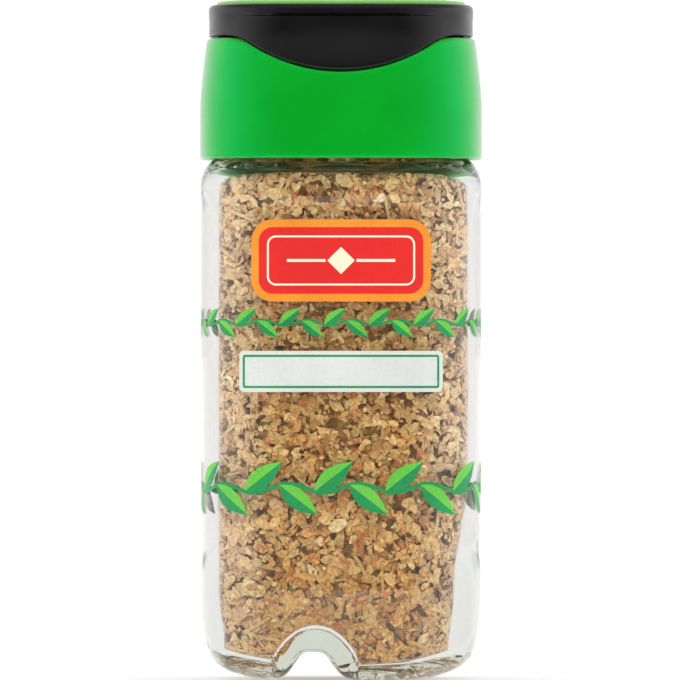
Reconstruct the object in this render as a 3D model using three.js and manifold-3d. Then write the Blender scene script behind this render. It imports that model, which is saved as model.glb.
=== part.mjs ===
// A square-bodied glass spice jar full of dried marjoram. A plastic collar snaps over its neck, a
// flip lid is hinged on the collar, and a clear printed film is wrapped round the glass.
// Millimetres, +Z up. The origin is on the surface that the jar stands on, under its middle. The
// printed side of the film and the lid's thumb lip face -Y, and the hinge is at +Y.
import * as THREE from "three";
import { mergeVertices } from "three/addons/utils/BufferGeometryUtils.js";
import Module from "manifold-3d";

const wasm = await Module();
wasm.setup();

// ---- Driving dimensions ----

const HEIGHT = 107; // from the foot to the crown of the lid's inlay
const GLASS_HALF = 22; // half the width of the glass body
const COLLAR_HALF = 22.1; // half the width of the collar's skirt
const COLLAR_LOW = 81.7; // the skirt's lower edge
const COLLAR_TOP = 100.55;
const NECK_MOUTH = 98.5; // the rim of the glass
const CORNER = 4; // the power of the rounded square: 2 is a circle, and more is squarer

const GAP = 0.3; // between pieces that rest on each other
const SIDES = 40; // facets round a body
const FAR = 60; // past any piece, for cutters
const OVER = 1; // how far a cutter runs past the face that it cuts
const WELD = 1e-4; // points nearer than this are one

// ---- Helpers ----

// A closed geometry as a solid. The points that neighbouring faces share are merged first.
function solid(geometry) {
  geometry.deleteAttribute("normal");
  geometry.deleteAttribute("uv");
  const merged = mergeVertices(geometry, WELD);
  const all = merged.index.array;
  const kept = [];
  for (let i = 0; i < all.length; i += 3) {
    const [a, b, c] = [all[i], all[i + 1], all[i + 2]];
    if (a !== b && b !== c && c !== a) kept.push(a, b, c);
  }
  return new wasm.Manifold(
    new wasm.Mesh({
      numProp: 3,
      vertProperties: merged.attributes.position.array,
      triVerts: new Uint32Array(kept),
    }),
  );
}

// A solid as a named mesh.
function piece(name, body, material) {
  const { vertProperties, triVerts } = body.getMesh();
  const geometry = new THREE.BufferGeometry();
  geometry.setAttribute("position", new THREE.BufferAttribute(vertProperties, 3));
  geometry.setIndex(new THREE.BufferAttribute(triVerts, 1));
  geometry.computeVertexNormals();
  const mesh = new THREE.Mesh(geometry, material);
  mesh.name = name;
  return mesh;
}

const finish = (color, roughness, more = {}) =>
  new THREE.MeshStandardMaterial({ color, roughness, metalness: 0, ...more });

// Points on a circular arc, from angle `from` to angle `to`, in degrees.
function arc(x, y, radius, from, to, steps) {
  return Array.from({ length: steps + 1 }, (_, i) => {
    const angle = THREE.MathUtils.degToRad(from + ((to - from) * i) / steps);
    return [x + radius * Math.cos(angle), y + radius * Math.sin(angle)];
  });
}

// Turns a profile of [half width, height] points round Z. `power` is a function of both and makes
// the body squarer than a circle, and `shift` is a function of the height and moves it along X.
function turned(profile, { power = () => 2, shift = () => 0 } = {}) {
  const points = profile.map(([x, z]) => new THREE.Vector2(x, z));
  const geometry = new THREE.LatheGeometry(points, SIDES);
  geometry.rotateX(Math.PI / 2);
  const at = geometry.attributes.position;
  for (let i = 0; i < at.count; i++) {
    const [x, y, z] = [at.getX(i), at.getY(i), at.getZ(i)];
    const n = power(Math.hypot(x, y), z);
    const reach = (Math.abs(x) ** n + Math.abs(y) ** n) ** (1 / n);
    const out = reach > 0 ? Math.hypot(x, y) / reach : 1;
    at.setXYZ(i, x * out + shift(z), y * out, z);
  }
  return solid(geometry);
}

const square = { power: () => CORNER };

// A round prism, or with `square` a rounded-square one, between two heights.
const prism = (half, low, high, plan) => turned([[0, low], [half, low], [half, high], [0, high]], plan);

const ring = (outer, inner, low, high) =>
  prism(outer, low, high).subtract(prism(inner, low - OVER, high + OVER));

// An outline of [x, z] points drawn out along Y, between two values of Y.
function drawn(outline, nearY, farY) {
  const shape = new THREE.Shape(outline.map(([x, z]) => new THREE.Vector2(x, z)));
  const geometry = new THREE.ExtrudeGeometry(shape, { depth: farY - nearY, bevelEnabled: false });
  geometry.rotateX(Math.PI / 2);
  geometry.translate(0, farY, 0);
  return solid(geometry);
}

// Everything under a line of [x, z] points, right through the jar.
function under(line) {
  const [start, end] = [line[0][0], line.at(-1)[0]];
  return drawn([[end, -OVER], ...[...line].reverse(), [start, -OVER]], -FAR, FAR);
}

// A round bar along X, between two values of X.
function bar(radius, fromX, toX, y, z, sides) {
  const geometry = new THREE.CylinderGeometry(radius, radius, toX - fromX, sides);
  geometry.rotateZ(Math.PI / 2);
  geometry.translate((fromX + toX) / 2, y, z);
  return solid(geometry);
}

// A round peg or hole along Z.
function rod(radius, x, y, low, high) {
  const geometry = new THREE.CylinderGeometry(radius, radius, high - low, 12);
  geometry.rotateX(Math.PI / 2);
  geometry.translate(x, y, (low + high) / 2);
  return solid(geometry);
}

function box([x0, y0, z0], [x1, y1, z1]) {
  const geometry = new THREE.BoxGeometry(x1 - x0, y1 - y0, z1 - z0);
  geometry.translate((x0 + x1) / 2, (y0 + y1) / 2, (z0 + z1) / 2);
  return solid(geometry);
}

const ramp = (value, from, to) => THREE.MathUtils.smoothstep(value, from, to);
const mix = (from, to, part) => from + (to - from) * part;

// ---- Glass jar: thick-walled, with a heavy base and a groove right across under it ----

const FOOT_HALF = 12.2; // the flat that the jar stands on
const HEEL = [[15.2, 0.55], [17.8, 1.35], [19.9, 2.75], [20.95, 4.8], [21.6, 7.8], [GLASS_HALF, 12.5]];
const PANEL = { low: 20.3, high: 73.4, depth: 0.2, slope: 3.2 }; // the shallow recess for the film
const SHOULDER = { start: 77.5, radius: 5.4, rounding: [19.6, 21] };
const NECK = { radius: 17.1, bore: 14.9, edge: 0.6 };
const BEAD = { radius: 17.7, low: 90.6, high: 92.4, slope: 0.4 }; // the collar snaps over it

// The inner face. Low down the glass is thicker, more so on the +X side.
const WALL = { lowHalf: 19.2, half: 19.95, lowShift: -0.33, shift: 0.15, thickTo: 14, thinFrom: 31 };
const CAVITY = { roof: 77.3, roofCorner: 2.5, neckFrom: 82, rounding: [15.2, 18] };
const DISH = { low: 2.85, bend: 0.0052 }; // the floor, before its hump
// The floor's corner: the hollow's half width just over it, and how far out the wall leans up to `top`.
const FILLET = { radius: 1.6, half: 18.5, lean: 0.3, top: 7.2 };
const HUMP = { x: -3.9, half: 6.5, rise: 5.3, power: 0.8 }; // the floor's rise over the groove
const GROOVE = { x: -4.3, half: 3.2, height: 4.7, trim: 0.2, reach: 7 };

// The plan turns from a rounded square into a circle where the shoulder closes in to the neck.
const rounding = (start, [from, to]) => (half, z) =>
  z < start ? CORNER : mix(2, CORNER, ramp(half, from, to));

function jarOutside() {
  const heel = new THREE.SplineCurve([[FOOT_HALF, 0], ...HEEL].map(([x, z]) => new THREE.Vector2(x, z)));
  const panelHalf = GLASS_HALF - PANEL.depth;
  return turned(
    [
      [0, 0],
      ...heel.getPoints(10).map((p) => [p.x, p.y]),
      [GLASS_HALF, PANEL.low - PANEL.slope],
      [panelHalf, PANEL.low],
      [panelHalf, PANEL.high],
      [GLASS_HALF, PANEL.high + PANEL.slope],
      ...arc(GLASS_HALF - SHOULDER.radius, SHOULDER.start, SHOULDER.radius, 0, 86, 7),
      [NECK.radius, BEAD.low],
      [BEAD.radius, BEAD.low + BEAD.slope],
      [BEAD.radius, BEAD.high - BEAD.slope],
      [NECK.radius, BEAD.high],
      ...arc(NECK.radius - NECK.edge, NECK_MOUTH - NECK.edge, NECK.edge, 0, 90, 2),
      [0, NECK_MOUTH],
    ],
    { power: rounding(SHOULDER.start, SHOULDER.rounding) },
  );
}

// The line of the inner floor from side to side, raised by `clear`.
function floorLine(clear) {
  const half = HUMP.half + clear;
  const dish = (x) => [x, DISH.low + DISH.bend * x * x + clear];
  const arch = (_, i) => {
    const angle = (Math.PI * (8 - i)) / 8;
    const [x, z] = dish(HUMP.x + half * Math.cos(angle));
    return [x, z + HUMP.rise * Math.sin(angle) ** (2 * HUMP.power)];
  };
  const left = [-GLASS_HALF, -18, -14].map(dish);
  const right = [7, 11, 15, 19, GLASS_HALF].map(dish);
  return [...left, ...Array.from({ length: 9 }, arch), ...right];
}

// The inside of the glass, made smaller by `clear` all round. It is open at the top up to `top`.
function jarInside(clear, top) {
  const thin = (z) => ramp(z, WALL.thickTo, WALL.thinFrom);
  const half = (z) => mix(WALL.lowHalf, WALL.half, thin(z)) - clear;
  const cornerX = FILLET.half - FILLET.radius - clear;
  const cornerZ = DISH.low + FILLET.radius + clear;
  const roof = CAVITY.roof - clear;
  return turned(
    [
      [0, OVER],
      [cornerX, OVER],
      ...arc(cornerX, cornerZ, FILLET.radius, -70, -12, 3),
      [FILLET.half + FILLET.lean - clear, FILLET.top],
      ...[WALL.thickTo, 18, 22, 26, WALL.thinFrom].map((z) => [half(z), z]),
      ...arc(half(roof) - CAVITY.roofCorner, roof, CAVITY.roofCorner, 0, 75, 4),
      [NECK.bore - clear, CAVITY.neckFrom],
      [NECK.bore - clear, top],
      [0, top],
    ],
    {
      power: rounding(roof, CAVITY.rounding.map((at) => at - clear)),
      shift: (z) => mix(WALL.lowShift, WALL.shift, thin(z)) * (1 - ramp(z, CAVITY.roof, CAVITY.neckFrom)),
    },
  ).subtract(under(floorLine(clear)));
}

// The groove's roof from side to side: steep at first, then nearly flat.
function grooveLine() {
  const steps = 20;
  return Array.from({ length: steps + 1 }, (_, i) => {
    const x = mix(-GROOVE.reach, GROOVE.reach, i / steps);
    const z = GROOVE.height / (1 + (x / GROOVE.half) ** 4) - GROOVE.trim;
    return [GROOVE.x + x, Math.max(0, z)];
  });
}

function glassJar() {
  return jarOutside().subtract(jarInside(0, NECK_MOUTH + OVER)).subtract(under(grooveLine()));
}

// ---- Label: a clear film wrapped round the panel ----

const FILM = { gap: 0.05, thick: 0.1, margin: 0.1 };

function wrapLabel() {
  const inner = GLASS_HALF - PANEL.depth + FILM.gap;
  const outer = inner + FILM.thick;
  const [low, high] = [PANEL.low + FILM.margin, PANEL.high - FILM.margin];
  return turned([[inner, low], [outer, low], [outer, high], [inner, high], [inner, low]], square);
}

// ---- Dried marjoram: rubbed leaves, filling the jar to just under the sifter ----

const FILL_TOP = 95.8;

function marjoram() {
  return jarInside(GAP, FILL_TOP);
}

// ---- Collar: one moulding with the skirt, the snap ring, the sifter and the hinge's ears ----

const SKIRT = { wall: 1.3, foot: 0.3 };
// The skirt's side draws in towards the top: how far in it is at each height.
const DRAW_IN = [[0, 90], [0.15, 92.5], [0.4, 95], [0.65, 97.3], [0.9, 99.2]];
const TOP_EDGE = { inset: 1, radius: 0.7 };
const DECK_LOW = NECK_MOUTH + GAP; // the deck sits on the glass rim
const SNAP = { outer: 19.1, inner: 18, lip: 17.4, low: 88.5, lipTop: BEAD.low - GAP };
const PLUG = { outer: 14.6, inner: 13.6, low: 96.5 }; // a ring that centres the deck in the bore
const BOSS = { outer: 14, inner: 13.2, height: 1 }; // the lid's seal ring closes round it
const SIFTER = { holes: 6, ring: 7.2, radius: 2.2 };

// The wave between collar and lid, as it shows from the front. It dips in the middle in a wide
// arc, and turns level in a smaller one at each end.
const WAVE = { low: 95.1, radius: 26.5, turn: 14.3, end: 18.6 };
const RECESS = { half: 19.1, wall: 1.2 }; // the collar's wall behind the lid's apron

const HINGE = { y: 20.2, z: COLLAR_TOP + 0.1, barrel: 1.5, half: 5 };
const PIN = { radius: 0.8, hole: 1, short: 0.2 };
const EAR = { from: 5.3, to: 8.1, front: 1.3, back: 0.9 };
const SWING = 0.35; // clearance round the barrel and the ears
const RELIEF = { half: 12.2, y: 18.2, depth: 1 }; // the lid's back edge swings down into it

const sifterHoles = [
  [0, 0],
  ...Array.from({ length: SIFTER.holes }, (_, i) => {
    const angle = (2 * Math.PI * (i + 0.5)) / SIFTER.holes;
    return [SIFTER.ring * Math.cos(angle), SIFTER.ring * Math.sin(angle)];
  }),
];

// Everything above the wave, raised by `lift`, in front of `backY`.
function aboveWave(lift, backY) {
  const steepest = THREE.MathUtils.radToDeg(Math.asin(WAVE.turn / WAVE.radius));
  const endRadius = ((WAVE.end - WAVE.turn) * WAVE.radius) / WAVE.turn;
  const middle = arc(0, WAVE.low + lift + WAVE.radius, WAVE.radius, 270, 270 + steepest, 7);
  const turnZ = middle.at(-1)[1];
  const drop = endRadius * Math.cos(THREE.MathUtils.degToRad(steepest));
  const end = arc(WAVE.end, turnZ - drop, endRadius, 90 + steepest, 90, 4).slice(1);
  const right = [...middle, ...end];
  const left = right.slice(1).map(([x, z]) => [-x, z]);
  const top = HEIGHT + 2 * OVER;
  return drawn([...left.reverse(), ...right, [WAVE.end, top], [-WAVE.end, top]], -FAR, backY);
}

function collarOutside() {
  const edgeHalf = COLLAR_HALF - TOP_EDGE.inset - TOP_EDGE.radius;
  return turned(
    [
      [0, COLLAR_LOW],
      [COLLAR_HALF - SKIRT.foot, COLLAR_LOW],
      [COLLAR_HALF, COLLAR_LOW + SKIRT.foot],
      ...DRAW_IN.map(([inset, z]) => [COLLAR_HALF - inset, z]),
      ...arc(edgeHalf, COLLAR_TOP - TOP_EDGE.radius, TOP_EDGE.radius, 20, 90, 3),
      [0, COLLAR_TOP],
    ],
    square,
  );
}

// The hollow between the skirt and the snap ring. It is lower and narrower behind the apron.
function skirtHollow() {
  const low = COLLAR_LOW - OVER;
  const half = COLLAR_HALF - SKIRT.wall;
  const upperHalf = half - DRAW_IN.at(-1)[0];
  const front = box([-FAR, -FAR, 0], [FAR, -8, HEIGHT]);
  return prism(half, low, WAVE.low - SKIRT.wall, square)
    .add(prism(upperHalf, low, DECK_LOW, square).subtract(front))
    .add(prism(RECESS.half - RECESS.wall, low, DECK_LOW, square))
    .subtract(prism(SNAP.outer, SNAP.low, DECK_LOW));
}

function snapRing() {
  return ring(SNAP.outer, SNAP.inner, SNAP.low, DECK_LOW).add(
    ring(SNAP.outer, SNAP.lip, SNAP.low, SNAP.lipTop),
  );
}

// An ear stands on the deck on each side of the lid's barrel, and a pin turns in it.
function hingeEar(side) {
  const [near, far] = [side * EAR.from, side * EAR.to].sort((a, b) => a - b);
  return bar(HINGE.barrel, near, far, HINGE.y, HINGE.z, 16)
    .add(box([near, HINGE.y - EAR.front, DECK_LOW], [far, HINGE.y + EAR.back, HINGE.z]))
    .subtract(bar(PIN.hole, near - OVER, far + OVER, HINGE.y, HINGE.z, 12));
}

function capCollar() {
  const apronRoom = aboveWave(0, 0).subtract(
    prism(RECESS.half, COLLAR_LOW, HEIGHT + 3 * OVER, square),
  );
  const barrelEnd = HINGE.half + SWING;
  const earRoom = box([-EAR.to, HINGE.y - EAR.front, HINGE.z - PIN.hole], [EAR.to, FAR, HEIGHT]);
  let body = collarOutside()
    .subtract(skirtHollow())
    .subtract(prism(SNAP.inner, COLLAR_LOW - OVER, DECK_LOW))
    .add(snapRing())
    .add(ring(PLUG.outer, PLUG.inner, PLUG.low, DECK_LOW))
    .subtract(apronRoom)
    .add(ring(BOSS.outer, BOSS.inner, COLLAR_TOP - GAP, COLLAR_TOP + BOSS.height))
    .subtract(box([-RELIEF.half, RELIEF.y, COLLAR_TOP - RELIEF.depth], [RELIEF.half, FAR, HEIGHT]))
    .subtract(bar(HINGE.barrel + SWING, -barrelEnd, barrelEnd, HINGE.y, HINGE.z, 16))
    .subtract(earRoom)
    .add(hingeEar(-1))
    .add(hingeEar(1));
  for (const [x, y] of sifterHoles) {
    body = body.subtract(rod(SIFTER.radius, x, y, DECK_LOW - OVER, COLLAR_TOP + OVER));
  }
  return body;
}

// ---- Lid: the flip top, with its apron, thumb lip, seal ring, pegs, barrel and hinge pins ----

const LID = { half: 20.75, low: COLLAR_TOP + 0.38, plate: 104, top: 105.8, edge: 0.8, wall: 1.4 };
const APRON = { half: 21.35, low: WAVE.low + 0.38, wall: 1.2, backY: -12 };
const SCOOP = { depth: 0.8, half: 14, top: 104.15 }; // the hollow under the thumb lip
const SEAL = { inner: 14.3, outer: 15.3, low: COLLAR_TOP + GAP };
const PEG = { radius: 1.85, low: COLLAR_TOP - 0.8 };
const SEAT = { half: 19.7, low: 104.95 }; // for the inlay

// The apron's front sinks under the thumb lip, most at the middle of its top.
function scooped(body) {
  const { vertProperties, triVerts } = body.getMesh();
  for (let i = 0; i < vertProperties.length; i += 3) {
    const [x, y, z] = vertProperties.subarray(i, i + 3);
    if (y > 0 || z > SCOOP.top + WELD) continue;
    const across = 1 - ramp(Math.abs(x), 0, SCOOP.half);
    vertProperties[i + 1] = y + SCOOP.depth * across * ramp(z, APRON.low, SCOOP.top);
  }
  return new wasm.Manifold(new wasm.Mesh({ numProp: 3, vertProperties, triVerts }));
}

// The side leans in from the apron's foot up to the cover's lower edge, and out again to the lip.
function lidOutside() {
  return scooped(
    turned(
      [
        [0, COLLAR_LOW],
        [APRON.half, COLLAR_LOW],
        [APRON.half, APRON.low],
        [mix(APRON.half, LID.half, 0.6), 99],
        [LID.half - 0.1, LID.low],
        [LID.half - 0.05, 103],
        [LID.half, SCOOP.top],
        [LID.half, SCOOP.top + 0.1],
        ...arc(LID.half - LID.edge, LID.top - LID.edge, LID.edge, 0, 90, 4),
        [0, LID.top],
      ],
      square,
    ),
  );
}

function lidInside() {
  const apronHalf = APRON.half - APRON.wall;
  const lidHalf = LID.half - LID.wall;
  return turned(
    [
      [0, COLLAR_LOW - OVER],
      [apronHalf, COLLAR_LOW - OVER],
      [apronHalf, APRON.low],
      [lidHalf, LID.low],
      [lidHalf, LID.plate],
      [0, LID.plate],
    ],
    square,
  );
}

function flipLid() {
  const cover = box([-FAR, -FAR, LID.low], [FAR, FAR, HEIGHT]);
  const apron = aboveWave(APRON.low - WAVE.low, APRON.backY);
  const plateTop = mix(LID.plate, SEAT.low, 0.5);
  let body = lidOutside()
    .intersect(cover.add(apron))
    .subtract(lidInside())
    .subtract(prism(SEAT.half, SEAT.low, HEIGHT, square))
    .add(ring(SEAL.outer, SEAL.inner, SEAL.low, plateTop));
  for (const [x, y] of sifterHoles) {
    body = body.add(rod(PEG.radius, x, y, PEG.low, plateTop));
  }
  for (const side of [-1, 1]) {
    const room = [side * (EAR.from - PIN.short), side * (EAR.to + GAP)].sort((a, b) => a - b);
    body = body.subtract(bar(HINGE.barrel + SWING, ...room, HINGE.y, HINGE.z, 16));
  }
  const pinEnd = EAR.to - PIN.short;
  return body
    .add(bar(HINGE.barrel, -HINGE.half, HINGE.half, HINGE.y, HINGE.z, 16))
    .add(bar(PIN.radius, -pinEnd, pinEnd, HINGE.y, HINGE.z, 12));
}

// ---- Inlay: the low-crowned square plate set in the top of the lid ----

const CROWN = { half: SEAT.half - 0.2, drop: 0.75, power: 3.5, edge: 0.35 };

function lidInlay() {
  const top = (x) => HEIGHT - CROWN.drop * (x / CROWN.half) ** CROWN.power;
  const rim = CROWN.half - CROWN.edge;
  return turned(
    [
      [0, SEAT.low + GAP],
      [CROWN.half, SEAT.low + GAP],
      ...arc(rim, top(rim) - CROWN.edge, CROWN.edge, 0, 70, 2),
      ...[0.9, 0.78, 0.62, 0.4].map((part) => [part * CROWN.half, top(part * CROWN.half)]),
      [0, HEIGHT],
    ],
    square,
  );
}

// ---- The assembly ----

const jarGroup = new THREE.Group();
jarGroup.add(
  piece("glass_jar", glassJar(), finish("#e4ece4", 0.05, { transparent: true, opacity: 0.35 })),
  piece("wrap_label", wrapLabel(), finish("#dfeee0", 0.15, { transparent: true, opacity: 0.3 })),
  piece("marjoram_fill", marjoram(), finish("#a98b5e", 0.95)),
  piece("cap_collar", capCollar(), finish("#00b341", 0.35)),
);

const lidGroup = new THREE.Group();
lidGroup.add(
  piece("flip_lid", flipLid(), finish("#232226", 0.4)),
  piece("lid_inlay", lidInlay(), finish("#4fae3a", 0.35)),
);

const spiceJar = new THREE.Group();
spiceJar.add(jarGroup, lidGroup);

export default spiceJar;
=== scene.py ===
import math

import bmesh
import bpy
import numpy as np
from mathutils import Matrix, Vector, noise


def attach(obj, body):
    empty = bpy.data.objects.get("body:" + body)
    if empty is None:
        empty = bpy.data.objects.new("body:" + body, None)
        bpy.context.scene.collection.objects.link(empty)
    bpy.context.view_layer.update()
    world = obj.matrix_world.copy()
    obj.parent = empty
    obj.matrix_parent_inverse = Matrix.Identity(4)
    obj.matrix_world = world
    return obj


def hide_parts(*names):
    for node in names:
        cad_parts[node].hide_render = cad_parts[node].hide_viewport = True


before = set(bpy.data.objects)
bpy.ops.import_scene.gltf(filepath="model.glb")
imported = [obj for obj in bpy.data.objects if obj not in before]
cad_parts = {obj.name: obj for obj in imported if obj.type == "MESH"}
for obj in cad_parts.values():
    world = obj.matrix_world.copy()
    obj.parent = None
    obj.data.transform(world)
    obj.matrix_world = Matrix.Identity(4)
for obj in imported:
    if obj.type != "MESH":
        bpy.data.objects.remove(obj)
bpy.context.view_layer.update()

# ---- The studio ----
# A white table in a light tent. The tent is bright behind and at the sides, and dim straight in
# front, where the lens looks in, so that glass and plastic keep a dark middle and bright edges.
MM = 0.001
# How bright gloss sees each part of the tent, and where the parts begin and end: in radians away from
# straight in front, and for the ceiling by how steeply it is looked up at, where 1 is straight up.
GLOSS = {"front_to": 0.1, "side_at": 1.25, "side": 1.45, "back_from": 1.8, "back_at": 2.7, "back": 0.6}
CEILING = {"from": 0.25, "at": 0.8, "bright": 0.3}
# How bright the tent is through glass and on matt surfaces. The front is at -1 and the back at 1.
THROUGH = {"front": 0.45, "side": 0.84, "side_at": -0.35}
MATT = {"front": 1.0, "back": 1.75, "back_at": 0.3}
PIXELS = 680
PIXELS_PER_MM = 6.355
LENS = {"distance": 2300, "height": 53.3, "aside": -0.16, "sensor": 36}
TABLE = {"half": 20, "front": 0.6}  # metres: its front edge is near, or the flat glass would mirror it


def linear(code):
    """An sRGB hex colour as linear red, green and blue, with an alpha of 1."""
    parts = [int(code[i : i + 2], 16) / 255 for i in (1, 3, 5)]
    return [p / 12.92 if p <= 0.04045 else ((p + 0.055) / 1.055) ** 2.4 for p in parts] + [1.0]


def node(tree, kind, inputs=None, **settings):
    """Adds a shader node. An input is a value or a socket to link, and stops fill a colour ramp."""
    made = tree.nodes.new("ShaderNode" + kind)
    for name, value in settings.items():
        if name != "stops":
            setattr(made, name, value)
            continue
        ramp = made.color_ramp
        while len(ramp.elements) < len(value):
            ramp.elements.new(1)
        for i, (place, code) in enumerate(value):
            ramp.elements[i].position = place
            ramp.elements[i].color = linear(code)
    for name, value in (inputs or {}).items():
        if isinstance(value, bpy.types.NodeSocket):
            tree.links.new(value, made.inputs[name])
        else:
            made.inputs[name].default_value = value
    return made


def blank(name):
    """A new material with no nodes yet, and its node tree."""
    made = bpy.data.materials.new(name)
    made.use_nodes = True
    made.node_tree.nodes.clear()
    return made, made.node_tree


scene = bpy.context.scene
scene.world = bpy.data.worlds.new("light_tent")
scene.world.use_nodes = True
tree = scene.world.node_tree
tree.nodes.clear()
direction = node(tree, "SeparateXYZ", {0: node(tree, "TexCoord").outputs["Generated"]}).outputs
facing = node(tree, "Math", {0: direction["Y"], 1: -1.0}, operation="MULTIPLY")
angle = node(tree, "Math", {0: facing.outputs[0]}, operation="ARCCOSINE")
around = {0: angle.outputs[0], 1: GLOSS["front_to"], 2: GLOSS["side_at"], 3: 0.0, 4: GLOSS["side"]}
behind = {0: angle.outputs[0], 1: GLOSS["back_from"], 2: GLOSS["back_at"], 3: 1.0, 4: GLOSS["back"]}
above = {0: direction["Z"], 1: CEILING["from"], 2: CEILING["at"], 3: 1.0, 4: CEILING["bright"]}
gloss = node(tree, "MapRange", around).outputs[0]
for part in (above, behind):
    dimmer = node(tree, "MapRange", part).outputs[0]
    gloss = node(tree, "Math", {0: gloss, 1: dimmer}, operation="MULTIPLY").outputs[0]
in_front = {0: direction["Y"], 1: -1.0, 2: THROUGH["side_at"], 3: THROUGH["front"], 4: THROUGH["side"]}
through = node(tree, "MapRange", in_front).outputs[0]
all_round = {0: direction["Y"], 1: -1.0, 2: MATT["back_at"], 3: MATT["front"], 4: MATT["back"]}
matt = node(tree, "MapRange", all_round).outputs[0]
# Gloss, glass and matt surfaces each see the tent as its cards are set for them, and the lens sees white.
path = node(tree, "LightPath").outputs
strength = matt
for kind, seen in (("Is Glossy Ray", gloss), ("Is Transmission Ray", through), ("Is Camera Ray", 1.0)):
    strength = node(tree, "Mix", {0: path[kind], 2: strength, 3: seen}, data_type="FLOAT").outputs[0]
light = node(tree, "Background", {"Color": linear("#ffffff"), "Strength": strength})
node(tree, "OutputWorld", {"Surface": light.outputs[0]})
scene.world.cycles.sampling_method = "NONE"  # or gloss would partly see what matt surfaces see

# White card, matt and lit a little from within, so that it meets the white tent with no edge.
card, tree = blank("white_card")
paper = node(tree, "BsdfDiffuse", {"Color": linear("#b8b8b8")})
glow = node(tree, "Emission", {"Color": linear("#ffffff"), "Strength": 0.4})
both = node(tree, "AddShader", {0: paper.outputs[0], 1: glow.outputs[0]})
plain = node(tree, "Emission", {"Color": linear("#ffffff"), "Strength": THROUGH["side"]})
seen = {0: node(tree, "LightPath").outputs["Is Transmission Ray"], 1: both.outputs[0], 2: plain.outputs[0]}
node(tree, "OutputMaterial", {"Surface": node(tree, "MixShader", seen).outputs[0]})
mesh = bmesh.new()
place = Matrix.Translation((0, TABLE["half"] - TABLE["front"], 0))
bmesh.ops.create_grid(mesh, x_segments=1, y_segments=1, size=TABLE["half"], matrix=place)
data = bpy.data.meshes.new("table")
mesh.to_mesh(data)
mesh.free()
data.materials.append(card)
table = bpy.data.objects.new("table", data)
scene.collection.objects.link(table)

camera = bpy.data.objects.new("camera", bpy.data.cameras.new("camera"))
scene.collection.objects.link(camera)
scene.camera = camera
camera.location = (LENS["aside"] * MM, -LENS["distance"] * MM, LENS["height"] * MM)
camera.rotation_euler = (math.pi / 2, 0, 0)
camera.data.sensor_width = LENS["sensor"]
camera.data.lens = LENS["sensor"] * LENS["distance"] / (PIXELS / PIXELS_PER_MM)

scene.view_settings.view_transform = "Standard"
scene.cycles.use_denoising = True
scene.cycles.max_bounces = 64
scene.cycles.transmission_bounces = 64
scene.cycles.transparent_max_bounces = 24
scene.cycles.diffuse_bounces = 4
scene.cycles.glossy_bounces = 32
scene.cycles.caustics_reflective = False
scene.cycles.caustics_refractive = False

# ---- Glass jar ----
# One piece of clear moulded glass: a thick base with a groove right across under it, flat sides with a
# shallow panel for the film, a shoulder, and a round neck with a bead that the cap snaps over.
HALF = 22  # half the width of the body
CORNER = 4  # the power of the rounded square: 2 is a circle, and more is squarer
FOOT_HALF = 12.2
HEEL = [(15.2, 0.55), (17.8, 1.35), (19.9, 2.75), (20.95, 4.8), (21.6, 7.8), (HALF, 12.5)]
PANEL = {"low": 20.3, "high": 73.4, "depth": 0.2, "slope": 3.2}
SHOULDER = {"start": 77.5, "radius": 5.4, "rounding": (19.6, 21)}
NECK = {"radius": 17.1, "bore": 14.9, "mouth": 98.5, "edge": 0.6, "inner_edge": 0.5}
BEAD = {"height": 0.6, "low": 90.6, "high": 92.4, "slope": 0.4}
WALL = {"low_half": 19.2, "half": 19.95, "low_shift": -0.33, "shift": 0.15, "thick_to": 14, "thin_from": 31}
LOW_WALL = [(18.8, 7.2), (19.05, 10.5)]  # where the hollow widens over the floor's corner
CAVITY = {"roof": 77.3, "roof_corner": 2.5, "neck_from": 82, "rounding": (15.2, 18)}
THROAT = [(16.4, 80.85), (15.3, 81.7), (NECK["bore"], 82.8), (NECK["bore"], 84)]
# The floor's corner: its radius, half the width of the hollow just over it, and how far the rows that
# would lie under the floor step in, for each millimetre.
FILLET = {"radius": 1.6, "half": 18.5, "step_in": 0.12}
DISH = {"low": 2.85, "bend": 0.0052, "fades_from": 4.5, "fades_over": 9}
HUMP = {"x": -3.9, "half": 6.5, "rise": 5.3, "power": 0.8, "soft": 0.8}
# The groove's edges are sharp across the foot, and softer where it breaks out through the heel.
GROOVE = {"x": -4.3, "half": 3.2, "height": 4.7, "trim": 0.2, "edges": (0.2, 0.9), "softens": (0.5, 3)}
# The inner face is a little uneven up to the shoulder, and so is the base, on its heel and in the groove.
WAVY = {"depth": 0.09, "length": 9, "fades": (74, 80)}
UNEVEN = {"depth": 0.35, "length": 4.5, "grows": (0.1, 1), "fades": (4, 9)}
GRID = 80  # cells across the foot and the floor


def ramp(value, start, end):
    """0 up to start, 1 from end, and smooth between them."""
    part = min(max((value - start) / (end - start), 0.0), 1.0)
    return part * part * (3 - 2 * part)


def mix(start, end, part):
    return start + (end - start) * part


def evenly(start, end, steps):
    return [mix(start, end, i / steps) for i in range(steps + 1)]


def soft_max(a, b, soft):
    """The higher of two heights, with their meeting rounded over about soft."""
    near = max(soft - abs(a - b), 0.0) / soft
    return max(a, b) + near * near * soft / 4


def arc(x, z, radius, start, end, steps):
    """Points on a circular arc, from one angle to another in degrees."""
    angles = [math.radians(a) for a in evenly(start, end, steps)]
    return [(x + radius * math.cos(a), z + radius * math.sin(a)) for a in angles]


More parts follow.
